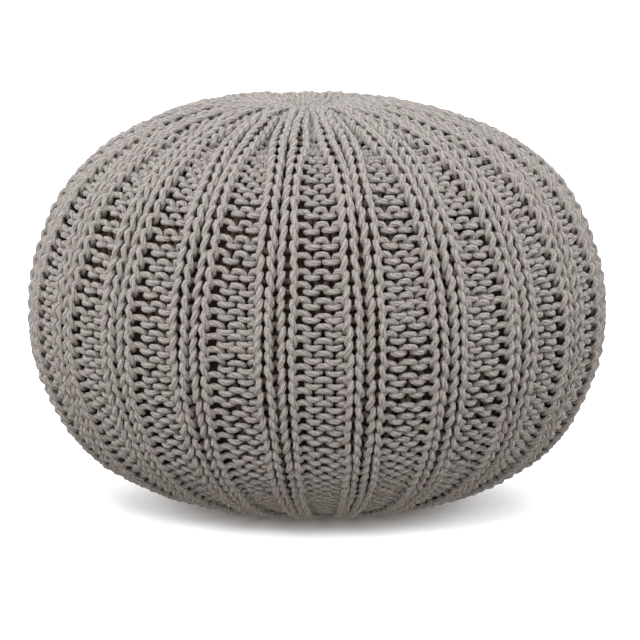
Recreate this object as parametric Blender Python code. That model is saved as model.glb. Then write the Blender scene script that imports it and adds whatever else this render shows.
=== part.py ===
"""Knitted pouf: a round, filled floor cushion in a ribbed knit cover.

One filled solid. The cover's rib pattern is raised in its surface: each repeat is a raised pair of
knit wales, which shows as four ridges, and a sunken purl channel beside it. Towards both poles the
channels fold shut, and the ridges run side by side into a gathered, dimpled centre. The seat is
flat where it rests. Metres, +Z up, origin at the middle of the seat.
"""

import math

import bmesh
import bpy
from mathutils import Vector

# Body, measured over the crests of the ribs.
RADIUS = 0.254
EQUATOR_HEIGHT = 0.1710
CROWN_RISE = 0.1918
BELLY_DROP = 0.1763
CROWN_POWER = 2.28
BELLY_POWER = 2.43

# Slightly flattened bands of the side: how far each is pressed in, its height and its reach.
SHOULDER_FLAT = (0.0025, 0.241, 0.035)
SKIRT_FLAT = (0.0040, 0.095, 0.040)

# Gathered centre of the crown: a dimple, drawn a little off the axis.
DIMPLE_DEPTH = 0.0120
DIMPLE_RADIUS = 0.0520
GATHER_SHIFT = Vector((-0.0085, 0.0015))
GATHER_REACH = 0.175

# The very centre lies less far to the side than the crown round it: share taken back, reach.
GATHER_RECOIL = (0.40, 0.050)

# The crown is a little slack on its +X side: depth, radius where it is deepest, reach.
CROWN_SLACK = (0.0028, 0.110, 0.055)
PUCKER_RADIUS = 0.0085
PUCKER_DEPTH = 0.0050

# Rib pattern. A share is a part of one repeat's width.
REPEATS = 21
FIRST_CHANNEL_DEG = 0.53
PAIR_SHARE = 0.51
CHANNEL_DEPTH = 0.0048
CHANNEL_SHUT_RADIUS = 0.090
CHANNEL_OPEN_RADIUS = 0.160
SEAT_SHUT_RADIUS = 0.040
SEAT_OPEN_RADIUS = 0.115
SHUT_CHANNEL_SHARE = 0.06
CHANNEL_FLOOR_START = 0.30
CHANNEL_WALL_DEPTH = 0.45
CHANNEL_FLOOR_DEPTH = 0.92
LEG_PLACES = (0.375, 0.125)
LEG_GROOVE = 0.0024
DEPTH_TO_WIDTH = 0.28
PLEAT_SHOULDER = 0.35

# Unevenness of the ribs: how far each one wanders sideways, and how much its height varies.
WANDER = 0.0022
HEIGHT_VARIATION = 0.0011

# Rings from the crown to the seat. Inside the sparse radius a ring has four points for each repeat.
CROWN_RINGS = 12
BELLY_RINGS = 11
SPARSE_RADIUS = 0.060
SEAT_TOLERANCE = 1e-6
SEAT_FADE_START = 0.75
SEAT_RELIEF = 0.4

YARN_COLOUR = (0.515, 0.467, 0.429, 1.0)
YARN_ROUGHNESS = 0.9


def smooth(low, high, value):
    """0 below low, 1 above high, and a smooth step between them."""
    t = min(max((value - low) / (high - low), 0.0), 1.0)
    return t * t * (3.0 - 2.0 * t)


def body_profile(angle):
    """(radius, height) of the crest line at an angle from the crown: pi/2 is the equator, pi the seat."""
    above = angle <= math.pi / 2
    power = CROWN_POWER if above else BELLY_POWER
    rise = CROWN_RISE if above else -BELLY_DROP
    radius = RADIUS * math.sin(angle) ** (2.0 / power)
    height = EQUATOR_HEIGHT + rise * abs(math.cos(angle)) ** (2.0 / power)
    for depth, level, reach in (SHOULDER_FLAT, SKIRT_FLAT):
        radius -= depth * math.exp(-(((height - level) / reach) ** 2))
    if above:
        height -= DIMPLE_DEPTH * math.exp(-((radius / DIMPLE_RADIUS) ** 2))
    return radius, height


def gather_pull(radius):
    """How far the crown's surface follows the gather sideways: 1 at its centre and 0 at the equator."""
    rest = math.exp(-((RADIUS / GATHER_REACH) ** 2))
    share, reach = GATHER_RECOIL
    pull = max(math.exp(-((radius / GATHER_REACH) ** 2)) - rest, 0.0) / (1.0 - rest)
    return pull - share * math.exp(-((radius / reach) ** 2))


def slack(radius, sideways):
    """How far the crown sinks; sideways is 1 toward +X and -1 toward -X."""
    depth, middle, reach = CROWN_SLACK
    return 0.5 * (1.0 + sideways) * depth * math.exp(-(((radius - middle) / reach) ** 2))


def seat_angle():
    """The angle at which the belly meets the ground, by bisection."""
    low, high = math.pi / 2, math.pi
    while high - low > SEAT_TOLERANCE:
        middle = (low + high) / 2
        if body_profile(middle)[1] > 0.0:
            low = middle
        else:
            high = middle
    return low


def outward(angle, step=1e-3):
    """The profile's outward normal as (radial, vertical)."""
    r0, z0 = body_profile(angle - step)
    r1, z1 = body_profile(angle + step)
    length = math.hypot(r1 - r0, z1 - z0)
    return (z0 - z1) / length, (r1 - r0) / length


def wander(repeat, angle):
    """Sideways drift of one rib, in metres, different for each repeat and level."""
    slow = math.sin(1.7 * angle + 2.4 * repeat)
    quick = math.sin(4.3 * angle + 5.1 * repeat + 0.8)
    return WANDER * (0.65 * slow + 0.35 * quick) * math.sin(angle)


def swell(repeat, angle):
    """How far one rib stands below the full height, in metres."""
    return HEIGHT_VARIATION * (0.5 + 0.5 * math.sin(2.9 * angle + 3.7 * repeat))


def rib_section(radius, above):
    """[(place, depth)] across one repeat at a radius: place is -0.5 to 0.5 from the pair's middle."""
    if above:
        opened = smooth(CHANNEL_SHUT_RADIUS, CHANNEL_OPEN_RADIUS, radius)
    else:
        opened = smooth(SEAT_SHUT_RADIUS, SEAT_OPEN_RADIUS, radius)
    channel = SHUT_CHANNEL_SHARE + (1.0 - PAIR_SHARE - SHUT_CHANNEL_SHARE) * opened
    pair = 1.0 - channel
    width = 2.0 * math.pi * radius / REPEATS
    groove = min(LEG_GROOVE, DEPTH_TO_WIDTH * width / 4)
    crease = min(CHANNEL_DEPTH, DEPTH_TO_WIDTH * width)
    if above and radius < SPARSE_RADIUS:
        shoulder = PLEAT_SHOULDER * crease
        return [(-0.25, shoulder), (0.0, 0.0), (0.25, shoulder), (0.5, crease)]
    legs = [(side * pair * share, 0.0) for side in (-1, 1) for share in LEG_PLACES]
    grooves = [(0.0, groove), (-0.25 * pair, groove), (0.25 * pair, groove)]
    if opened == 0.0:
        return sorted(legs + grooves + [(0.5, crease)])
    wall = 0.5 * pair
    floor_edge = wall + CHANNEL_FLOOR_START * (0.5 - wall)
    walls = [(side * wall, CHANNEL_WALL_DEPTH * crease) for side in (-1, 1)]
    floor = [(side * floor_edge, CHANNEL_FLOOR_DEPTH * crease) for side in (-1, 1)]
    return sorted(legs + grooves + walls + floor + [(0.5, crease)])


def ring_points(angle, relief):
    """[(turn, point)] round the body; relief scales the depth of the ribs."""
    radius, height = body_profile(angle)
    normal_out, normal_up = outward(angle)
    above = angle < math.pi / 2
    drift = GATHER_SHIFT * (gather_pull(radius) if above else 0.0)
    points = []
    for repeat in range(REPEATS):
        for place, depth in rib_section(radius, above):
            turn = (repeat + 0.5 + place) / REPEATS
            theta = 2.0 * math.pi * turn + math.radians(FIRST_CHANNEL_DEG)
            theta += wander(repeat, angle) / RADIUS * (1.0 - abs(2.0 * place))
            inset = relief * (depth + swell(repeat, angle) * (1.0 - abs(2.0 * place)))
            r = radius - normal_out * inset
            z = height - normal_up * inset
            if above:
                z -= slack(radius, math.sin(theta))
            point = Vector((r * math.sin(theta) + drift.x, -r * math.cos(theta) + drift.y, z))
            points.append((turn, point))
    return points


def pucker_ring():
    """The small ring round the gathered centre, one point for each repeat."""
    height = body_profile(0.0)[1] - PUCKER_DEPTH
    points = []
    for repeat in range(REPEATS):
        turn = (repeat + 0.5) / REPEATS
        theta = 2.0 * math.pi * turn + math.radians(FIRST_CHANNEL_DEG)
        x = PUCKER_RADIUS * math.sin(theta) + GATHER_SHIFT.x * gather_pull(0.0)
        y = -PUCKER_RADIUS * math.cos(theta) + GATHER_SHIFT.y * gather_pull(0.0)
        points.append((turn, Vector((x, y, height))))
    return points


def seat_ring(angle):
    """The flat seat's round edge, two points for each repeat."""
    radius = body_profile(angle)[0]
    points = []
    for step in range(2 * REPEATS):
        turn = (step + 1.0) / (2 * REPEATS)
        theta = 2.0 * math.pi * turn + math.radians(FIRST_CHANNEL_DEG)
        points.append((turn, Vector((radius * math.sin(theta), -radius * math.cos(theta), 0.0))))
    return points


def body_rings():
    """Every ring of points from the crown's gather to the seat's edge."""
    seat = seat_angle()
    rings = [pucker_ring()]
    for step in range(1, CROWN_RINGS + 1):
        rings.append(ring_points(math.pi / 2 * step / (CROWN_RINGS + 0.5), 1.0))
    for step in range(1, BELLY_RINGS + 1):
        share = step / (BELLY_RINGS + 1)
        angle = math.pi / 2 + (seat - math.pi / 2) * share
        fade = (1.0 - SEAT_RELIEF) * smooth(SEAT_FADE_START, 1.0, share)
        rings.append(ring_points(angle, 1.0 - fade))
    rings.append(seat_ring(seat))
    return rings


def centred(rings):
    """The rings moved sideways so that the whole body's box is centred on the origin."""
    points = [point for ring in rings for _, point in ring]
    middle = [(min(p[axis] for p in points) + max(p[axis] for p in points)) / 2 for axis in (0, 1)]
    shift = Vector((middle[0], middle[1], 0.0))
    return [[(turn, point - shift) for turn, point in ring] for ring in rings]


def stitch(mesh, upper, lower):
    """Joins two rings of (turn, vertex), which may differ in number, with triangles that face out."""
    high = upper + [(upper[0][0] + 1.0, upper[0][1])]
    low = lower + [(lower[0][0] + 1.0, lower[0][1])]
    a = b = 0
    while a < len(upper) or b < len(lower):
        take_high = b == len(lower) or (a < len(upper) and high[a + 1][0] <= low[b + 1][0])
        if take_high:
            mesh.faces.new((high[a][1], low[b][1], high[a + 1][1]))
            a += 1
        else:
            mesh.faces.new((high[a][1], low[b][1], low[b + 1][1]))
            b += 1


def yarn_material():
    """Warm grey cotton cord."""
    material = bpy.data.materials.new("cotton_yarn")
    material.use_nodes = True
    shader = material.node_tree.nodes["Principled BSDF"]
    shader.inputs["Base Color"].default_value = YARN_COLOUR
    shader.inputs["Roughness"].default_value = YARN_ROUGHNESS
    shader.inputs["Metallic"].default_value = 0.0
    return material


def knit_cover():
    """The filled body with its ribs, as one closed solid."""
    mesh = bmesh.new()
    rings = []
    for ring in centred(body_rings()):
        rings.append([(turn, mesh.verts.new(point)) for turn, point in ring])
    for upper, lower in zip(rings, rings[1:]):
        stitch(mesh, upper, lower)
    mesh.faces.new([vertex for _, vertex in rings[0]])
    mesh.faces.new([vertex for _, vertex in reversed(rings[-1])])
    bmesh.ops.recalc_face_normals(mesh, faces=mesh.faces)
    data = bpy.data.meshes.new("knit_cover")
    mesh.to_mesh(data)
    mesh.free()
    data.shade_smooth()
    data.set_sharp_from_angle(angle=math.radians(60))
    data.materials.append(yarn_material())
    body = bpy.data.objects.new("knit_cover", data)
    bpy.context.scene.collection.objects.link(body)
    return body


def main():
    for old in list(bpy.data.objects):
        bpy.data.objects.remove(old)
    knit_cover()


main()
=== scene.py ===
"""Looks of the knitted pouf: a rib-knit cover of thick cotton cord, stitch by stitch.

Every course of the knitting is one closed tube of cord that follows the path of a knit yarn. A
repeat of the rib is four wales: purl, knit, knit, purl. Knit wales show their legs, purl wales show
their heads and sinkers. The cover is knitted from the crown down, so its stitches point up. Places
round the body are counted in wales, from the channel at the front toward +X, and places along it
by the length of its outline from the crown's centre.
Metres, +Z up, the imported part's own frame, with the front toward -Y.
"""

import math

import bpy
import numpy as np
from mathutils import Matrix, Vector


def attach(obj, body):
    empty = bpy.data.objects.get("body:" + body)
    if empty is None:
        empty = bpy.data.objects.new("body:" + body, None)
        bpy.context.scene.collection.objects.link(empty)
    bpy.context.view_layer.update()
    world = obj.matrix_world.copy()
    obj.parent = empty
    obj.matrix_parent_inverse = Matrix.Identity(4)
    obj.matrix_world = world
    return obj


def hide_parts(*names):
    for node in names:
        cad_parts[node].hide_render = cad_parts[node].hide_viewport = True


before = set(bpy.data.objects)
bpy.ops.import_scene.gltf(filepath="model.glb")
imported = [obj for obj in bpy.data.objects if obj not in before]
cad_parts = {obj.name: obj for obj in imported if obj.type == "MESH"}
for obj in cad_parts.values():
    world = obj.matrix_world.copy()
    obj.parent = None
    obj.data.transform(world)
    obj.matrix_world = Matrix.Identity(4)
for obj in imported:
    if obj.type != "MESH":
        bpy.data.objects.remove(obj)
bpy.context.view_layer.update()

TURN = 2.0 * math.pi

# --- Body, measured over the crests of the ribs (as in the part's source) ---
RADIUS = 0.254
EQUATOR_HEIGHT = 0.1710
CROWN_RISE = 0.1918
BELLY_DROP = 0.1763
CROWN_POWER = 2.28
BELLY_POWER = 2.43
SHOULDER_FLAT = (0.0025, 0.241, 0.035)   # depth, height, reach
SKIRT_FLAT = (0.0040, 0.095, 0.040)
DIMPLE_DEPTH = 0.0120
DIMPLE_RADIUS = 0.0520
GATHER_SHIFT = (-0.0085, 0.0015)         # how far the crown's centre is drawn aside, in x and y
GATHER_REACH = 0.175
GATHER_RECOIL = (0.40, 0.050)            # share taken back at the centre, reach
CROWN_SLACK = (0.0028, 0.110, 0.055)     # depth, radius, reach, on the +X side
SEAT_PULL = (0.0045, 0.110)              # how far the ribs lean toward +X by the seat, height reach
LEAST_PULLED_RADIUS = 0.06               # radius inside which they turn no further
PROFILE_STEPS = 1600                     # steps of each half of the outline
SLOPE_WINDOW = 41                        # odd count of steps that each normal is averaged over

# --- Ribs and channels ---
REPEATS = 21
RIB_WALES = 4                            # purl, knit, knit, purl
WALES = RIB_WALES * REPEATS
FIRST_CHANNEL = math.radians(0.53)
PAIR_SHARE = 0.51                        # share of a repeat that its knit pair takes
CROWN_PAIR_GAIN = (0.032, 0.06)          # the pairs' extra share above the equator, rise to it
SHUT_CHANNEL_SHARE = 0.045               # share left to a channel that is shut
CROWN_CHANNELS = (0.122, 0.198)          # radii at which the channels shut and are wide open
SEAT_CHANNELS = (0.040, 0.115)
WANDER = 0.0009                          # how far the ribs stray sideways
WANDER_WAVES = ((0.65, 1.7, 2.4, 0.0), (0.35, 4.3, 5.1, 0.8))   # share, per angle, per rib, phase
CHANNEL_SINK = 0.0038                    # depth of the channels where they are open
SHUT_SINK = (0.0070, 0.30)               # depth where they are shut, opening at which that ends
CHANNEL_EDGE = 0.35                      # half the width of a channel's slope, in wales
EDGE_LEG_RISE = 0.0006                   # how far the outer legs of a rib stand up
EDGE_LEG_PLACE = (0.75, 0.2)             # their place from the rib's middle and reach, in wales

# --- Gathered centres, where the cords dive inwards ---
CROWN_PIT = (0.010, 0.013)               # depth, radius
SEAT_PIT = (0.010, 0.013)
INNERMOST = 0.006                        # radius at which the outline ends
CROWN_FOLDS = (0.040, 0.115)             # radii at which pairs are folded fully and not at all
SEAT_FOLDS = (0.018, 0.060)
FOLD_SQUEEZE = 0.62                      # how far a fold hides the outer legs of its pair
FOLD_FLOOR = 0.2                         # half the width of a fold's flat top, in wales
FOLD_UNEVENNESS = 0.0010                 # how far single folds stand up or lie low
FOLD_WAVES = (2.3, 0.4, 0.9, 1.0, 25.0)  # per rib, phase, per rib squared, phase, per metre
FOLD_UNEVEN_REACH = 1.4                  # in wales from the fold's middle
PLEAT_DEPTH = 0.0054                     # depth of the furrow between shut pairs
DEPTH_TO_WIDTH = 0.60                    # and its most, as a share of a repeat's width
FULLY_RELIEVED = 0.6                     # opening of the channels past which nothing is pleated
FLAT_SWING = 0.45                        # share of the stitches' relief that pleating presses flat
CROWN_RISE_SHUT = 0.0014                 # how much the crown swells where its channels are shut
CALM_FOLDS = ((10.5, 1.3, 0.95), (0.0, 0.6, 0.45))   # filled furrows: channel, reach, share
EVEN_PAIRS = (10.0, 1.1, 0.85)           # and the pairs there, whose ropes stay evenly apart
CROWN_NICKS = ((46.0, 0.24, 0.0060), (42.0, 1.30, 0.0017))   # dips at the back: wale, reach, depth
NICK_PLACE = (0.090, 0.035)              # their radius and reach

# --- Cord ---
CORD_RADIUS = 0.0027
CORD_SIDES = 7
CORD_FLATTENING = 0.05
LEG_THINNING = 0.02                      # share by which the pull thins the cord in the ribs
PURL_THINNING = 0.08                     # and in the channels
NARROW_THINNING = 0.50                   # how much thinner it is pressed in a shut channel
FULL_SIZE_PURL = 0.0110                  # purl wales narrower than this are pressed
FULL_SIZE_SPACING = 0.0050               # legs closer than this are thinned
CORD_THINNED = (0.5, 0.6)                # by this power of the spacing, to this share at least
RELIEF_THINNED = (0.6, 0.5)              # the same for the stitches' depth
FOLD_ROOM = 1.8                          # how much more room folded legs find, one over another

# --- Rows ---
ROW_HEIGHT = 0.0120
SHOULDER_STRETCH = (0.19, 0.250, 0.030)  # share by which rows are taller, where, reach
SKIRT_SQUEEZE = (0.15, 0.38, 0.49)       # share by which the weight squeezes lower rows, from, to
SEAT_STRETCH = (0.22, 0.52, 0.62)        # and by which they are taller again underneath
BANDS = 7                                # joined meshes that the rows are spread over

# --- Stitches ---
STITCH_TIMES = 15                        # points along one stitch
HIDDEN_TIMES = 2                         # along one that is folded out of sight
SEATED_TIMES = 12                        # and along one in the rows that the pouf sits on
SEATED_HEIGHT = 0.003
SHUT_OPENING = 0.02                      # opening under which a channel's stitches are hidden
BORDER = math.pi / 3                     # time at each end that eases a stitch into the next
LOOP_REACH = {1: 0.79, -1: 0.77}         # how far knit and purl loops reach from a row's middle
LEG_LEAN = {1: 0.185, -1: 0.205}         # how far their legs lean, in wales
HEAD_SPREAD = {1: 0.0, -1: 0.010}        # how much wider heads are than sinkers, in wales
BACK_REACH = {1: 0.0036, -1: 0.0048}     # how much further the cord goes back than forward
SWING = 0.0029                           # half the travel of the cord through the cloth
FRONT_DWELL = 0.15                       # how much longer the cord stays at the front
LEG_TILT = 0.0024                        # upper ends of legs stand forward and lower ends back
SQUARE_LOOPS = 0.08                      # flatness of purl heads and sinkers
PURL_SKEW = 0.0006                       # how far a purl loop's right half stands back
PURL_SHIFT = 0.15                        # how far channels' stitches sit to the right, in wales
NARROW_SHIFT = 0.16                      # and further where the channel is half open
SHIFT_TURNED = 1.6                       # share of the shift that is taken back at the right
TURNED_FROM = (0.10, 0.60)               # sines of the turn over which that sets in
CREST_DEPTH = SWING + EDGE_LEG_RISE + CORD_RADIUS   # depth of the cord's middle under the crests

# --- Unevenness of handwork ---
SEED = 11
STITCH_SHIFT = 0.00065                   # along the body
STITCH_SIDEWAYS = 0.8                    # share of it that a stitch strays sideways
LEAST_SHIFTED_RADIUS = 0.03              # radius inside which that grows no further, in wales
STITCH_DEPTH_SHIFT = 0.00030
CORD_THICKNESS_SHIFT = 0.045
MOST_THICKNESS_SHIFTS = 2                # standard deviations
ROW_WAVE = 0.0020
ROW_WAVES = (                            # share, per turn, per row, phase
    (1.0, 2, 0.35, 0.0), (0.6, 7, -0.21, 1.0), (0.45, 13, 0.5, 0.0),
)
COLUMN_WANDER = 0.032                    # in wales
COLUMN_WAVES = (0.55, 2.1, 0.7, 1.3)     # per row, per column, share and pace of the unevenness

# --- Drawn-up ends of the cord in the centres ---
KNOT_TURNS = 2.2
KNOT_POINTS = 60
KNOT_REACH = (0.0010, 0.0060, 0.0008)    # radius at the middle, growth, unevenness
KNOT_LIFT = (0.0020, 0.0010)             # rise of the middle over the rim, unevenness
KNOT_WAVES = ((3.0, 0.5), (2.0, 1.0))    # of the reach and the lift: waves a turn, phase
KNOT_TAIL = (0.001, 0.001, 0.006)        # where the end dives in
KNOT_THINNING = 0.8
CROWN_KNOT_DEPTH = 0.009                 # under the outline's first point
SEAT_KNOT_HEIGHT = 0.0150

# --- Lining ---
LINING_DEPTH = 0.0097                    # behind the cloth's middle
LINING_AROUND = 2 * WALES
LINING_RINGS = 90


def smooth(low, high, value):
    """0 up to low, 1 from high on, and an eased rise between them."""
    t = np.clip((value - low) / (high - low), 0.0, 1.0)
    return t * t * (3.0 - 2.0 * t)


def bell(value, middle, reach):
    """1 at the middle, fading out past the reach."""
    return np.exp(-(((value - middle) / reach) ** 2))


def eased_between(values, place):
    """A closed list's value at each place, eased from each entry to the next."""
    low = np.floor(place).astype(int)
    share = smooth(0.0, 1.0, place - low)
    return values[low % len(values)] * (1.0 - share) + values[(low + 1) % len(values)] * share


# --------------------------------------------------------------------------- body surface

def flats(height):
    """How far the side is pressed in at its two flattened bands."""
    bands = (SHOULDER_FLAT, SKIRT_FLAT)
    return sum(depth * bell(height, level, reach) for depth, level, reach in bands)


def gather_pull(radius):
    """Share of the crown's shift aside that is felt at a radius."""
    rest = bell(RADIUS, 0.0, GATHER_REACH)
    share, reach = GATHER_RECOIL
    pull = np.maximum(bell(radius, 0.0, GATHER_REACH) - rest, 0.0) / (1.0 - rest)
    return pull - share * bell(radius, 0.0, reach)


def slack(radius, sideways):
    """How far the crown hangs lower, most on its +X side."""
    depth, middle, reach = CROWN_SLACK
    return 0.5 * (1.0 + sideways) * depth * bell(radius, middle, reach)


def crown_half():
    """Angle, radius and height of the outline from the crown's centre to the equator."""
    start = (INNERMOST / RADIUS) ** (CROWN_POWER / 2.0)
    angle = np.linspace(math.asin(start), math.pi / 2, PROFILE_STEPS)
    radius = RADIUS * np.sin(angle) ** (2.0 / CROWN_POWER)
    height = EQUATOR_HEIGHT + CROWN_RISE * np.cos(angle).clip(0) ** (2.0 / CROWN_POWER)
    radius -= flats(height)
    height -= DIMPLE_DEPTH * bell(radius, 0.0, DIMPLE_RADIUS)
    height -= CROWN_PIT[0] * bell(radius, 0.0, CROWN_PIT[1])
    return angle, radius, height


def seat_half():
    """The same from the equator to the seat's centre."""
    angle = np.linspace(math.pi / 2, math.pi, PROFILE_STEPS)[1:]
    radius = RADIUS * np.sin(angle).clip(0) ** (2.0 / BELLY_POWER)
    level = EQUATOR_HEIGHT - BELLY_DROP * np.abs(np.cos(angle)) ** (2.0 / BELLY_POWER)
    radius -= flats(level)
    height = np.maximum(level, 0.0) + SEAT_PIT[0] * bell(radius, 0.0, SEAT_PIT[1])
    keep = radius > INNERMOST
    return angle[keep], radius[keep], height[keep]


def soft_slope(line):
    """A line's slope, averaged over a few steps."""
    window = np.hanning(SLOPE_WINDOW)
    window /= window.sum()
    return np.convolve(np.pad(np.gradient(line), SLOPE_WINDOW // 2, "edge"), window, "valid")


def profile_table():
    """The body's outline from crown centre to seat centre, at even steps of its length."""
    angle, r, z = (np.concatenate(halves) for halves in zip(crown_half(), seat_half()))
    path = np.concatenate([[0.0], np.cumsum(np.hypot(np.diff(r), np.diff(z)))])
    even = np.linspace(0.0, path[-1], 2 * PROFILE_STEPS)
    r, z, angle = (np.interp(even, path, line) for line in (r, z, angle))
    slope_r, slope_z = soft_slope(r), soft_slope(z)
    size = np.hypot(slope_r, slope_z)
    crown = angle < math.pi / 2
    opening = np.where(crown, smooth(*CROWN_CHANNELS, r), smooth(*SEAT_CHANNELS, r))
    fold = 1.0 - np.where(crown, smooth(*CROWN_FOLDS, r), smooth(*SEAT_FOLDS, r))
    pair = 1.0 - SHUT_CHANNEL_SHARE - (1.0 - PAIR_SHARE - SHUT_CHANNEL_SHARE) * opening
    gain, rise = CROWN_PAIR_GAIN
    pair += gain * opening * smooth(EQUATOR_HEIGHT, EQUATOR_HEIGHT + rise, z)
    return {
        "path": even, "r": r, "z": z, "out": -slope_z / size, "up": slope_r / size,
        "angle": angle, "opening": opening, "fold": fold, "pair": pair,
    }


PROFILE = profile_table()
PATH_LENGTH = PROFILE["path"][-1]


def along(path, name):
    """One of the outline's values at a path length."""
    return np.interp(path, PROFILE["path"], PROFILE[name])


def row_height(path):
    """How tall the rows are at a path length."""
    stretch, at, reach = SHOULDER_STRETCH
    height = ROW_HEIGHT * (1.0 + stretch * bell(path, at, reach))
    height = height * (1.0 - SKIRT_SQUEEZE[0] * smooth(*SKIRT_SQUEEZE[1:], path))
    return height * (1.0 + SEAT_STRETCH[0] * smooth(*SEAT_STRETCH[1:], path))


def row_edges():
    """Path lengths at which the rows start, with the last one's end."""
    path = PROFILE["path"]
    counted = np.concatenate([[0.0], np.cumsum(np.diff(path) / row_height(path[1:]))])
    rows = int(round(counted[-1]))
    return np.interp(np.arange(rows + 1) * counted[-1] / rows, counted, path)


ROW_EDGES = row_edges()
ROWS = len(ROW_EDGES) - 1


def squeeze(repeat, fold):
    """How far a folded pair's two ropes are pushed apart."""
    middle, reach, share = EVEN_PAIRS
    return FOLD_SQUEEZE * fold * (1.0 - share * bell(repeat, middle, reach))


def rib_place(wales):
    """The repeat that a place lies in, and its place from that pair's middle, -2 to 2 wales."""
    repeat = np.floor(wales / RIB_WALES)
    return repeat, wales - RIB_WALES * repeat - RIB_WALES / 2


def place_in_repeat(wale_place, pair, push):
    """Where a place of -2 to 2 wales from the pair's middle lies, as -0.5 to 0.5 of the repeat."""
    size = np.abs(wale_place)
    inner = np.minimum(size, 1.0) ** (1.0 - push) * pair / 2
    outer = np.maximum(size - 1.0, 0.0) * (1.0 - pair) / 2
    return np.sign(wale_place) * (inner + outer)


def wander(repeat, angle):
    """How far a rib strays sideways at an angle from the crown."""
    waves = [
        share * np.sin(per_angle * angle + per_rib * repeat + phase)
        for share, per_angle, per_rib, phase in WANDER_WAVES
    ]
    return WANDER * sum(waves) * np.sin(angle)


def surface(wales, path, depth):
    """Points and outward normals of the body at places in wales, path lengths and depths."""
    path = np.clip(path, 0.0, PATH_LENGTH)
    radius, height = along(path, "r"), along(path, "z")
    out, up, angle = along(path, "out"), along(path, "up"), along(path, "angle")
    repeat, from_middle = rib_place(wales)
    push = squeeze(repeat % REPEATS, along(path, "fold"))
    place = place_in_repeat(from_middle, along(path, "pair"), push)
    theta = TURN * (repeat + 0.5 + place) / REPEATS + FIRST_CHANNEL
    theta = theta + wander(repeat % REPEATS, angle) / RADIUS * (1.0 - np.abs(2.0 * place))
    seat_pull = SEAT_PULL[0] * bell(height, 0.0, SEAT_PULL[1])
    theta = theta + seat_pull * np.cos(theta) / np.maximum(radius, LEAST_PULLED_RADIUS)
    pull = np.where(angle < math.pi / 2, gather_pull(radius), 0.0)
    r = radius - out * depth
    sine, cosine = np.sin(theta), np.cos(theta)
    x = r * sine + GATHER_SHIFT[0] * pull
    y = -r * cosine + GATHER_SHIFT[1] * pull
    z = height - up * depth - np.where(angle < math.pi / 2, slack(radius, sine), 0.0)
    points = np.stack([x, y, z], axis=-1)
    normals = np.stack([out * sine, -out * cosine, up], axis=-1)
    return points, normals


def pleated(opening):
    """1 where the channels are shut and the cloth is pleated, to 0 where it lies open."""
    return 1.0 - smooth(0.0, FULLY_RELIEVED, opening)


def fold_swell(repeat, radius, away):
    """How far single folds stand up or lie low, from rib to rib and along each."""
    per_rib, phase, per_square, square_phase, per_metre = FOLD_WAVES
    uneven = np.sin(per_rib * repeat + phase)
    uneven = uneven * np.sin(per_square * repeat * repeat + square_phase + per_metre * radius)
    return FOLD_UNEVENNESS * uneven * (1.0 - np.minimum(away / FOLD_UNEVEN_REACH, 1.0) ** 2)


def nicks(wales, radius):
    """How far the crown's back edge dips."""
    ring = bell(radius, *NICK_PLACE)
    return ring * sum(depth * bell(wales, wale, reach) for wale, reach, depth in CROWN_NICKS)


def furrow_left(wales):
    """Share of the furrows' depth that the crown has, at each channel."""
    channel = np.round(wales / RIB_WALES) % REPEATS
    return 1.0 - sum(share * bell(channel, middle, reach) for middle, reach, share in CALM_FOLDS)


def relief(wales, path):
    """Height of the cloth's middle over its level in a knit wale: channels, pleats, edge legs."""
    path = np.clip(path, 0.0, PATH_LENGTH)
    radius, opening, fold = along(path, "r"), along(path, "opening"), along(path, "fold")
    crown = path < PATH_LENGTH / 2
    repeat, from_middle = rib_place(wales)
    away = np.abs(from_middle)
    shut = pleated(opening)
    shut_sink, ends = SHUT_SINK
    sink = CHANNEL_SINK + (shut_sink - CHANNEL_SINK) * (1.0 - smooth(0.0, ends, opening))
    pleat = np.minimum(PLEAT_DEPTH, DEPTH_TO_WIDTH * TURN * radius / REPEATS) * shut
    left = 1.0 - (1.0 - furrow_left(wales)) * shut * crown
    edge = EDGE_LEG_RISE * bell(away, *EDGE_LEG_PLACE) * opening
    crest = fold * fold_swell(repeat % REPEATS, radius, away)
    crest = crest + crown * (CROWN_RISE_SHUT * shut - nicks(wales, radius))
    in_pair = smooth(-CHANNEL_EDGE, CHANNEL_EDGE, 1.0 - away)
    furrow = np.minimum(away, 1.0) ** 2 * (1.0 - fold) + smooth(FOLD_FLOOR, 1.0, away) * fold
    return edge + crest - left * (sink * (1.0 - in_pair) + pleat * furrow)


# --------------------------------------------------------------------------- cord

def kind_of(wale):
    """1 for a knit wale and -1 for a purl one."""
    place = wale % RIB_WALES
    return np.where((place == 1) | (place == 2), 1.0, -1.0)


def by_kind(kind, values):
    """The knit stitches' value where the kind is 1, and the purl stitches' one elsewhere."""
    return np.where(kind > 0, values[1], values[-1])


def row_times(opening, count):
    """Wale and time of each point along a course. A folded purl wale keeps only a hidden link."""
    full = np.arange(count) * (TURN / count)
    hidden = np.arange(HIDDEN_TIMES) * (TURN / HIDDEN_TIMES)
    wales, times = [], []
    for wale in range(WALES):
        chosen = hidden if (kind_of(wale) < 0 and opening < SHUT_OPENING) else full
        wales.append(np.full(len(chosen), wale))
        times.append(chosen)
    return np.concatenate(wales), np.concatenate(times)


def side_of(wale, time):
    """The kind of stitch at each point, eased over the borders between wales."""
    kind = kind_of(wale)
    before, after = kind_of((wale - 1) % WALES), kind_of((wale + 1) % WALES)
    fade_in = smooth(0.0, BORDER, time)
    fade_out = smooth(0.0, BORDER, TURN - time)
    side = kind * fade_in * fade_out
    return side + (1.0 - fade_in) * (kind + before) / 2 + (1.0 - fade_out) * (kind + after) / 2


def handwork(random, place):
    """A smooth random value at places in wales along a course, from a draw for each half stitch."""
    return eased_between(random.standard_normal(2 * WALES), 2.0 * place)


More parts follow.
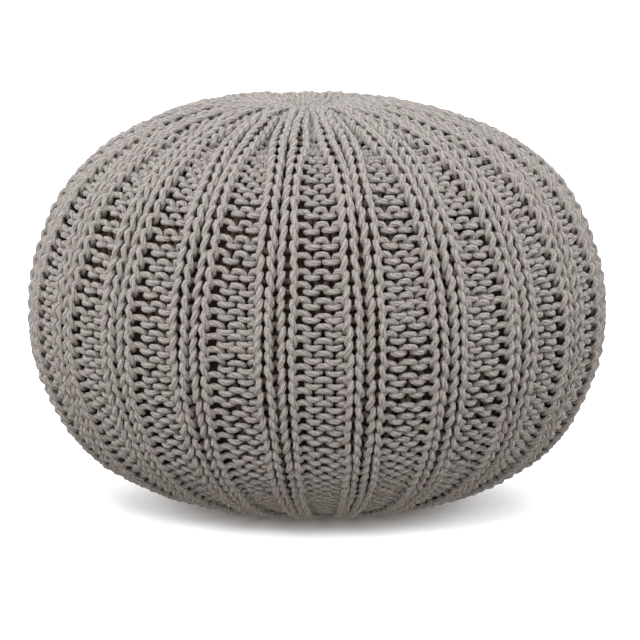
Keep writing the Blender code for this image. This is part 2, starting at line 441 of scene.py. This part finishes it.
def column_drift(row, place):
    """How far the legs' columns have strayed sideways at this row, from -1 to 1."""
    per_row, per_column, share, pace = COLUMN_WAVES
    column = np.arange(2 * WALES)
    drift = np.sin(per_row * row + per_column * column + share * np.sin(pace * column))
    return eased_between(drift, 2.0 * place - 0.5)


def row_wave(row, wales):
    """How far a row strays along the body."""
    turn = TURN * wales / WALES
    waves = [
        share * np.sin(per_turn * turn + per_row * row + phase)
        for share, per_turn, per_row, phase in ROW_WAVES
    ]
    return ROW_WAVE * sum(waves)


def channel_shift(place, opening):
    """How far the channels' stitches sit to the right, in wales."""
    narrow = NARROW_SHIFT * 4.0 * opening * (1.0 - opening)
    turned = 1.0 - SHIFT_TURNED * smooth(*TURNED_FROM, np.sin(TURN * place / WALES))
    return turned * (PURL_SHIFT * opening + narrow)


def drop(time, side):
    """How far below its row's middle the cord runs, in rows: sinkers lie above and heads below."""
    flat = SQUARE_LOOPS * (1.0 - side) / 2
    reach = LOOP_REACH[-1] + (LOOP_REACH[1] - LOOP_REACH[-1]) * (1.0 + side) / 2
    return -reach * (np.cos(time) - flat * np.cos(3.0 * time)) / (1.0 - flat)


def swing_of(time, kind, side, scale, opening):
    """How far in front of the cloth's middle the cord runs."""
    swing = -SWING * scale * (side * np.cos(2.0 * time) + FRONT_DWELL * np.cos(4.0 * time))
    swing = swing + LEG_TILT * scale * np.cos(time) * np.sin(time) ** 2
    swing = swing * (1.0 - FLAT_SWING * pleated(opening))
    behind = np.where(kind > 0, np.cos(time), np.sin(time)) ** 4 * np.abs(side)
    return swing - by_kind(kind, BACK_REACH) * behind


def thinned(middle, power, least):
    """Scale of stitches whose legs, four to a shut pair, stand closer than at full size."""
    spacing = TURN * along(middle, "r") / REPEATS * (1.0 - SHUT_CHANNEL_SHARE) / 4
    spacing = spacing * (1.0 + FOLD_ROOM * FOLD_SQUEEZE * along(middle, "fold"))
    return np.clip((spacing / FULL_SIZE_SPACING) ** power, least, 1.0)


def cord_radius(middle, side, shift):
    """Radius of the cord: thinner where it is pulled, crowded or pressed, and never quite even."""
    knit, purl = side.clip(0), (-side).clip(0)
    scale = thinned(middle, *CORD_THINNED)
    scale = scale * (1.0 - LEG_THINNING * knit) * (1.0 - PURL_THINNING * purl)
    purl_width = math.pi * along(middle, "r") / REPEATS * (1.0 - along(middle, "pair"))
    pressed = NARROW_THINNING * (1.0 - smooth(0.0, FULL_SIZE_PURL, purl_width))
    scale = scale * (1.0 - pressed * purl)
    most = MOST_THICKNESS_SHIFTS
    return CORD_RADIUS * scale * (1.0 + CORD_THICKNESS_SHIFT * shift.clip(-most, most))


def course(row, random):
    """Centreline, normals and radius of one course of cord, and how far behind each point runs, for
    the painted shade.
    """
    step = ROW_EDGES[row + 1] - ROW_EDGES[row]
    middle = ROW_EDGES[row] + step / 2
    opening = along(middle, "opening")
    seated = middle > PATH_LENGTH / 2 and along(middle, "z") < SEATED_HEIGHT
    wale, time = row_times(opening, SEATED_TIMES if seated else STITCH_TIMES)
    kind, side, place = kind_of(wale), side_of(wale, time), wale + time / TURN
    shifts = [handwork(random, place) for _ in range(4)]

    wales = place + by_kind(kind, LEG_LEAN) * np.sin(2.0 * time)
    wales = wales - by_kind(kind, HEAD_SPREAD) * np.sin(time)
    wales = wales + channel_shift(place, opening) * (1.0 - side) / 2
    wale_width = TURN * max(along(middle, "r"), LEAST_SHIFTED_RADIUS) / WALES
    wales = wales + shifts[0] * STITCH_SHIFT / wale_width * STITCH_SIDEWAYS
    wales = wales + COLUMN_WANDER * column_drift(row, place)

    path = middle + step * drop(time, side) + shifts[1] * STITCH_SHIFT + row_wave(row, wales)
    swing = swing_of(time, kind, side, thinned(middle, *RELIEF_THINNED), opening)
    skew = PURL_SKEW * np.sin(time) * (kind < 0)
    level = relief(wales, path) + swing + skew + shifts[2] * STITCH_DEPTH_SHIFT
    points, normals = surface(wales, path, CREST_DEPTH - level)
    # painted shade: how far behind the cloth the cord runs, which darkens its colour there
    shade_behind = smooth(0.0, SWING + BACK_REACH[1], -swing)
    return points, normals, cord_radius(middle, side, shifts[3]), shade_behind


def unit(vectors):
    """The same directions at length 1."""
    return vectors / np.linalg.norm(vectors, axis=-1, keepdims=True)


def tube(points, normals, thickness):
    """Rings of a closed tube round a closed centreline, and the length along it at each ring."""
    tangent = unit(np.roll(points, -1, axis=0) - np.roll(points, 1, axis=0))
    across = unit(np.cross(tangent, normals))
    outward = np.cross(across, tangent)
    turn = np.arange(CORD_SIDES) * (TURN / CORD_SIDES)
    wide = (1.0 + CORD_FLATTENING) * np.cos(turn)[None, :, None] * across[:, None, :]
    high = (1.0 - CORD_FLATTENING) * np.sin(turn)[None, :, None] * outward[:, None, :]
    rings = points[:, None, :] + thickness[:, None, None] * (wide + high)
    steps = np.linalg.norm(np.roll(points, -1, axis=0) - points, axis=1)
    return rings, np.concatenate([[0.0], np.cumsum(steps)])


def tube_quads(rings):
    """Outward quads of a closed tube of that many rings, the first ring's vertices first."""
    ring = np.arange(rings)[:, None]
    side = np.arange(CORD_SIDES)[None, :]
    next_ring, next_side = (ring + 1) % rings, (side + 1) % CORD_SIDES
    corners = (
        ring * CORD_SIDES + side,
        next_ring * CORD_SIDES + side,
        next_ring * CORD_SIDES + next_side,
        ring * CORD_SIDES + next_side,
    )
    return np.stack(corners, axis=-1).reshape(-1, 4)


def tube_uvs(lengths):
    """Length along the cord and turn round it, for each corner of the tube's quads."""
    rings = len(lengths) - 1
    start = np.repeat(lengths[:-1], CORD_SIDES)
    end = np.repeat(lengths[1:], CORD_SIDES)
    low = np.tile(np.arange(CORD_SIDES) / CORD_SIDES, rings)
    high = low + 1.0 / CORD_SIDES
    corners = [(start, low), (end, low), (end, high), (start, high)]
    return np.stack([np.stack(corner, axis=-1) for corner in corners], axis=1).reshape(-1, 2)


def mesh_from(name, vertices, quads, uvs, shade_behind):
    """A mesh of tubes, with the map along the cord and how far behind each ring runs, which paints
    shade into the cord's colour.
    """
    mesh = bpy.data.meshes.new(name)
    mesh.vertices.add(len(vertices))
    mesh.vertices.foreach_set("co", vertices.astype(np.float32).ravel())
    mesh.loops.add(quads.size)
    mesh.loops.foreach_set("vertex_index", quads.astype(np.int32).ravel())
    mesh.polygons.add(len(quads))
    mesh.polygons.foreach_set("loop_start", np.arange(0, quads.size, 4, dtype=np.int32))
    mesh.polygons.foreach_set("use_smooth", np.ones(len(quads), dtype=bool))
    layer = mesh.uv_layers.new(name="cord")
    layer.uv.foreach_set("vector", uvs.astype(np.float32).ravel())
    depth = mesh.attributes.new("shade_behind", "FLOAT", "POINT")
    depth.data.foreach_set("value", np.repeat(shade_behind, CORD_SIDES).astype(np.float32))
    mesh.update(calc_edges=True)
    mesh.validate()
    return mesh


def piece_from(name, mesh, material):
    """A mesh as a piece of that material in the scene."""
    mesh.materials.append(material)
    piece = bpy.data.objects.new(name, mesh)
    bpy.context.scene.collection.objects.link(piece)
    return piece


def in_bands(courses):
    """The courses in lists of about equal size, from the crown down."""
    total = sum(len(item[0]) for item in courses)
    bands, current, count = [], [], 0
    for item in courses:
        current.append(item)
        count += len(item[0])
        if count >= total * (len(bands) + 1) / BANDS:
            bands.append(current)
            current = []
    return bands


def knit_bands(material):
    """The cover as joined meshes, each a band of whole courses."""
    random = np.random.default_rng(SEED)
    courses = [course(row, random) for row in range(ROWS)]
    made = []
    for number, band in enumerate(in_bands(courses)):
        vertices, quads, uvs, depths, first = [], [], [], [], 0
        for points, normals, thickness, shade_behind in band:
            rings, lengths = tube(points, normals, thickness)
            vertices.append(rings.reshape(-1, 3))
            quads.append(tube_quads(len(points)) + first)
            uvs.append(tube_uvs(lengths))
            depths.append(shade_behind)
            first += len(points) * CORD_SIDES
        name = f"knit_band_{number + 1}"
        mesh = mesh_from(name, *map(np.concatenate, (vertices, quads, uvs, depths)))
        made.append(piece_from(name, mesh, material))
    return made


def knot(name, height, up, material):
    """The drawn-up end of the cord that plugs a gathered centre: a short, uneven coil."""
    share = np.linspace(0.0, 1.0, KNOT_POINTS)
    angle = TURN * KNOT_TURNS * share
    (reach_waves, reach_phase), (lift_waves, lift_phase) = KNOT_WAVES
    least, growth, reach_wave = KNOT_REACH
    reach = least + growth * share + reach_wave * np.sin(reach_waves * angle + reach_phase)
    rise, lift_wave = KNOT_LIFT
    lift = rise * (1.0 - share) + lift_wave * np.sin(lift_waves * angle + lift_phase)
    pull = float(gather_pull(0.0)) if up > 0 else 0.0
    x = reach * np.cos(angle) + GATHER_SHIFT[0] * pull
    y = reach * np.sin(angle) + GATHER_SHIFT[1] * pull
    centre = np.stack([x, y, height + up * lift], axis=-1)
    tail = centre[-1:] + [[KNOT_TAIL[0], KNOT_TAIL[1], -up * KNOT_TAIL[2]]]
    centre = np.concatenate([centre, tail])
    normals = np.tile([[0.0, 0.0, 1.0]], (len(centre), 1))
    rings, lengths = tube(centre, normals, np.full(len(centre), KNOT_THINNING * CORD_RADIUS))
    quads, uvs = tube_quads(len(centre))[:-CORD_SIDES], tube_uvs(lengths)[: -4 * CORD_SIDES]
    mesh = mesh_from(name, rings.reshape(-1, 3), quads, uvs, np.zeros(len(centre)))
    return piece_from(name, mesh, material)


# --------------------------------------------------------------------------- lining

def lining(material):
    """The body that shows between the stitches, just behind the cord: a lining, darker than its own
    cloth as painted shade for the gaps.
    """
    path = np.linspace(0.0, PATH_LENGTH, LINING_RINGS)
    wales = np.arange(LINING_AROUND) * (WALES / LINING_AROUND)
    grid_wales, grid_path = np.meshgrid(wales, path)
    level = relief(grid_wales, grid_path) - LINING_DEPTH
    points, _ = surface(grid_wales, grid_path, CREST_DEPTH - level)
    around = np.arange(LINING_AROUND)
    faces = []
    for ring in range(LINING_RINGS - 1):
        low = ring * LINING_AROUND + around
        high = low + LINING_AROUND
        faces.append(np.stack([low, high, np.roll(high, -1), np.roll(low, -1)], axis=-1))
    top = list(range(LINING_AROUND))
    bottom = list(range((LINING_RINGS - 1) * LINING_AROUND, LINING_RINGS * LINING_AROUND))
    mesh = bpy.data.meshes.new("filled_lining")
    quads = np.concatenate(faces).tolist()
    mesh.from_pydata(points.reshape(-1, 3).tolist(), [], quads + [top, bottom[::-1]])
    mesh.shade_smooth()
    return piece_from("filled_lining", mesh, material)


# --------------------------------------------------------------------------- shader nodes

def node(tree, kind, links=(), **settings):
    """A new node with its settings, and links given as (input, socket) pairs."""
    made = tree.nodes.new(kind)
    for name, value in settings.items():
        setattr(made, name, value)
    for name, source in links:
        tree.links.new(source, made.inputs[name])
    return made


def set_inputs(made, **values):
    """Constant inputs of a node, with _ for each space in a name."""
    for name, value in values.items():
        made.inputs[name.replace("_", " ")].default_value = value


def math_node(tree, operation, *values):
    """The result of a sum on numbers and sockets."""
    made = tree.nodes.new("ShaderNodeMath")
    made.operation = operation
    for index, value in enumerate(values):
        if isinstance(value, (int, float)):
            made.inputs[index].default_value = value
        else:
            tree.links.new(value, made.inputs[index])
    return made.outputs[0]


def product(tree, first, second):
    return math_node(tree, "MULTIPLY", first, second)


def summed(tree, first, second):
    return math_node(tree, "ADD", first, second)


def noise(tree, vector, scale, detail=2.0):
    """Soft noise at a place, from 0 to 1."""
    made = node(tree, "ShaderNodeTexNoise", [("Vector", vector)])
    set_inputs(made, Scale=scale, Detail=detail)
    return made.outputs["Fac"]


def smooth_step(tree, value, low, high):
    """The same rise as smooth(), in nodes."""
    made = node(tree, "ShaderNodeMapRange", [("Value", value)], interpolation_type="SMOOTHSTEP")
    set_inputs(made, From_Min=low, From_Max=high)
    return made.outputs["Result"]


def mixed(tree, factor, first, second):
    """A blend of two colours, each a tuple or a socket."""
    made = tree.nodes.new("ShaderNodeMix")
    made.data_type = "RGBA"
    tree.links.new(factor, made.inputs[0])
    for index, value in ((6, first), (7, second)):
        if isinstance(value, tuple):
            made.inputs[index].default_value = value
        else:
            tree.links.new(value, made.inputs[index])
    return made.outputs[2]


def new_material(name, **shader_inputs):
    """A material, its node tree and its shader."""
    material = bpy.data.materials.new(name)
    material.use_nodes = True
    shader = material.node_tree.nodes["Principled BSDF"]
    set_inputs(shader, **shader_inputs)
    return material, material.node_tree, shader


# --------------------------------------------------------------------------- materials

PLIES = 4.0
PLY_TWIST = 105.0                        # plies that pass in a metre of cord
GROOVE_WIDTH = 0.55
FIBRES_ALONG = 500.0                     # a metre
FIBRES_AROUND = 14.0
FIBRE_DETAIL = 3.0
FUZZ_SCALE = 1300.0
BROAD_SCALE = 9.0
PATCH_SCALE = 55.0
WARM_COTTON = (0.348, 0.313, 0.289, 1)
GREY_COTTON = (0.352, 0.326, 0.296, 1)
ROSY_COTTON = (0.367, 0.324, 0.306, 1)
# painted shade in the grooves between the plies
PAINTED_GROOVE_SHADE = (0.130, 0.110, 0.098, 1)
FLECK_COLOUR = (0.492, 0.456, 0.422, 1)
SPECK_COLOUR = (0.220, 0.197, 0.180, 1)
UNTINTED = (1, 1, 1, 1)
PAINTED_SHADE_TINT = (0.445, 0.345, 0.275, 1)   # painted shade: the cord's colour is darkened and browned where it runs behind the cloth
BROAD_STEP = (0.35, 0.65)                # noise values between which each colour comes in
PATCH_STEP = (0.38, 0.66)
FLECK_STEP = (0.42, 0.75)
FUZZ_STEP = (0.36, 0.56)
GROOVE_RELIEF = 0.7                      # shares of the cord's fine relief
FIBRE_RELIEF = 0.9
FUZZ_RELIEF = 0.8
CORD_BUMP = 0.0010
LINING_WEAVE = 700.0
# the lining's own cloth colour, darkened further as painted shade for the gaps between stitches
LINING_AND_SHADE_COLOURS = ((0.033, 0.020, 0.014, 1), (0.058, 0.040, 0.029, 1))
LINING_BUMP = 0.0005


def cord_colour(tree, place, groove, fibre, fuzz):
    """Broad patches, shorter mottling, painted shade in the grooves between plies, flecks and
    specks of fibre, and painted shade where the cord runs behind.
    """
    broad = smooth_step(tree, noise(tree, place, BROAD_SCALE), *BROAD_STEP)
    patch = smooth_step(tree, noise(tree, place, PATCH_SCALE), *PATCH_STEP)
    tint = mixed(tree, patch, mixed(tree, broad, WARM_COTTON, GREY_COTTON), ROSY_COTTON)
    # painted shade darkens the grooves between the plies
    groove_shaded = mixed(tree, groove, PAINTED_GROOVE_SHADE, tint)
    fleck = mixed(tree, smooth_step(tree, fibre, *FLECK_STEP), groove_shaded, FLECK_COLOUR)
    speck = mixed(tree, smooth_step(tree, fuzz, *FUZZ_STEP), SPECK_COLOUR, fleck)
    # painted shade: the colour darkens and browns where the cord runs behind the cloth
    shade_behind = node(tree, "ShaderNodeAttribute", attribute_name="shade_behind").outputs["Fac"]
    with_painted_shade = node(tree, "ShaderNodeVectorMath", operation="MULTIPLY")
    tree.links.new(speck, with_painted_shade.inputs[0])
    tree.links.new(mixed(tree, shade_behind, UNTINTED, PAINTED_SHADE_TINT), with_painted_shade.inputs[1])
    return with_painted_shade.outputs[0]


def cord_material():
    """Undyed cotton cord: twisted plies, loose fibres and a little fuzz."""
    material, tree, shader = new_material(
        "cotton_cord", Roughness=0.92, Specular_IOR_Level=0.2,
        Sheen_Weight=0.10, Sheen_Roughness=0.5,
    )
    place = tree.nodes.new("ShaderNodeTexCoord").outputs["Object"]
    cord = node(tree, "ShaderNodeUVMap", uv_map="cord").outputs["UV"]
    parts = node(tree, "ShaderNodeSeparateXYZ", [("Vector", cord)])
    length, turn = parts.outputs["X"], parts.outputs["Y"]
    phase = summed(tree, product(tree, turn, PLIES), product(tree, length, PLY_TWIST))
    wave = math_node(tree, "SINE", product(tree, phase, math.pi))
    groove = smooth_step(tree, math_node(tree, "ABSOLUTE", wave), 0.0, GROOVE_WIDTH)
    fibre_place = node(tree, "ShaderNodeCombineXYZ")
    tree.links.new(product(tree, length, FIBRES_ALONG), fibre_place.inputs[0])
    tree.links.new(product(tree, turn, FIBRES_AROUND), fibre_place.inputs[1])
    fibre = noise(tree, fibre_place.outputs[0], 1.0, FIBRE_DETAIL)
    fuzz = noise(tree, place, FUZZ_SCALE)
    colour = cord_colour(tree, place, groove, fibre, fuzz)
    tree.links.new(colour, shader.inputs["Base Color"])

    height = summed(tree, product(tree, groove, GROOVE_RELIEF), product(tree, fibre, FIBRE_RELIEF))
    height = summed(tree, height, product(tree, fuzz, FUZZ_RELIEF))
    bump = node(tree, "ShaderNodeBump", [("Height", height)])
    set_inputs(bump, Strength=0.9, Distance=CORD_BUMP)
    tree.links.new(bump.outputs["Normal"], shader.inputs["Normal"])
    return material


def lining_material():
    """Dull lining cloth, darkened past its own colour as painted shade for the gaps between
    stitches.
    """
    material, tree, shader = new_material("lining_and_painted_shade", Roughness=0.95, Specular_IOR_Level=0.1)
    place = tree.nodes.new("ShaderNodeTexCoord").outputs["Object"]
    weave = noise(tree, place, LINING_WEAVE)
    tree.links.new(mixed(tree, weave, *LINING_AND_SHADE_COLOURS), shader.inputs["Base Color"])
    bump = node(tree, "ShaderNodeBump", [("Height", weave)])
    set_inputs(bump, Distance=LINING_BUMP)
    tree.links.new(bump.outputs["Normal"], shader.inputs["Normal"])
    return material


# --------------------------------------------------------------------------- studio

FLOOR_SIZE = 60.0
FLOOR_COLOUR = (0.93, 0.93, 0.93, 1)
SKY = (1.53, 1.54, 1.57, 1)              # the studio's walls
OVERHEAD = (1.30, 1.335, 1.385, 1)
OVERHEAD_EDGE = (0.45, 0.95)             # sines of the elevation between which it takes over
BELOW = (0.46, 0.425, 0.39, 1)           # the floor, as it lights the body
BELOW_EDGE = (-0.12, 0.0)
LAMPS = (                                # name, place, size, watts
    ("soft_front", (-0.6, -2.5, 2.3), 1.2, 52.0),
    ("soft_left", (-2.6, 0.2, 0.9), 1.6, 18.0),
    ("soft_right", (2.6, 0.2, 0.9), 1.6, 17.5),
)
FLOOR_LAMPS = 4                          # low soft lamps that light only the floor, all round
FLOOR_LAMP_REACH = 3.0
FLOOR_LAMP_HEIGHT = 1.3
FLOOR_LAMP_SIZE = 1.8
FLOOR_LAMP_WATTS = 48.0
CAMERA_DISTANCE = 16.0 * RADIUS
CAMERA_ELEVATION = math.radians(8.8)
CAMERA_TARGET = Vector((0.0026, 0.0, 0.1608))
CAMERA_SEES_TO = 100.0
FOCAL_PIXELS = 4655.0
PICTURE_PIXELS = 640.0
SENSOR_MM = 36.0


def floor():
    """A pale floor that takes light but doesn't pass it on to the body."""
    mesh = bpy.data.meshes.new("studio_floor")
    half = FLOOR_SIZE / 2
    corners = [(-half, -half, 0), (half, -half, 0), (half, half, 0), (-half, half, 0)]
    mesh.from_pydata(corners, [], [(0, 1, 2, 3)])
    material, _, _ = new_material(
        "pale_floor", Base_Color=FLOOR_COLOUR, Roughness=1.0, Specular_IOR_Level=0.0
    )
    mesh.materials.append(material)
    plane = bpy.data.objects.new("studio_floor", mesh)
    plane.visible_diffuse = False
    ground = bpy.data.collections.new("ground")
    bpy.context.scene.collection.children.link(ground)
    ground.objects.link(plane)
    return ground


def area_light(name, place, size, power, lit=None):
    """A square soft light that faces the body, and lights only that collection if one is given."""
    light = bpy.data.lights.new(name, "AREA")
    light.size = size
    light.energy = power
    lamp = bpy.data.objects.new(name, light)
    lamp.location = place
    aim = Vector((0.0, 0.0, EQUATOR_HEIGHT)) - lamp.location
    lamp.rotation_euler = aim.to_track_quat("-Z", "Y").to_euler()
    bpy.context.scene.collection.objects.link(lamp)
    if lit:
        lamp.light_linking.receiver_collection = lit


def studio_world():
    """Soft light from all round, in the tones of the floor, the walls and overhead."""
    world = bpy.data.worlds.new("studio_world")
    world.use_nodes = True
    tree = world.node_tree
    direction = tree.nodes.new("ShaderNodeTexCoord").outputs["Generated"]
    height = node(tree, "ShaderNodeSeparateXYZ", [("Vector", direction)]).outputs["Z"]
    above = mixed(tree, smooth_step(tree, height, *OVERHEAD_EDGE), SKY, OVERHEAD)
    colour = mixed(tree, smooth_step(tree, height, *BELOW_EDGE), BELOW, above)
    tree.links.new(colour, tree.nodes["Background"].inputs["Color"])
    return world


def studio():
    """The floor, the world and the lamps."""
    ground = floor()
    bpy.context.scene.world = studio_world()
    for lamp in LAMPS:
        area_light(*lamp)
    for number in range(FLOOR_LAMPS):
        angle = math.radians(360.0 / FLOOR_LAMPS * number)
        x, y = FLOOR_LAMP_REACH * math.sin(angle), -FLOOR_LAMP_REACH * math.cos(angle)
        place = (x, y, FLOOR_LAMP_HEIGHT)
        area_light(f"floor_light_{number + 1}", place, FLOOR_LAMP_SIZE, FLOOR_LAMP_WATTS, ground)
    bpy.context.scene.view_settings.view_transform = "Standard"


def camera():
    """The photo's view: a long lens, a little above level."""
    data = bpy.data.cameras.new("photo_camera")
    data.sensor_width = SENSOR_MM
    data.lens = SENSOR_MM * FOCAL_PIXELS / PICTURE_PIXELS
    data.clip_end = CAMERA_SEES_TO
    eye = bpy.data.objects.new("photo_camera", data)
    back = Vector((0.0, -math.cos(CAMERA_ELEVATION), math.sin(CAMERA_ELEVATION)))
    eye.location = CAMERA_TARGET + back * CAMERA_DISTANCE
    eye.rotation_euler = (math.pi / 2 - CAMERA_ELEVATION, 0.0, 0.0)
    bpy.context.scene.collection.objects.link(eye)
    bpy.context.scene.camera = eye


# --------------------------------------------------------------------------- assembly

def main():
    camera()
    studio()
    core = lining(lining_material())
    cord = cord_material()
    crown_middle = float(PROFILE["z"][0]) - CROWN_KNOT_DEPTH
    ends = [
        knot("crown_knot", crown_middle, 1.0, cord),
        knot("seat_knot", SEAT_KNOT_HEIGHT, -1.0, cord),
    ]
    for piece in [core, *ends, *knit_bands(cord)]:
        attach(piece, "root")
        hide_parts("knit_cover")


main()
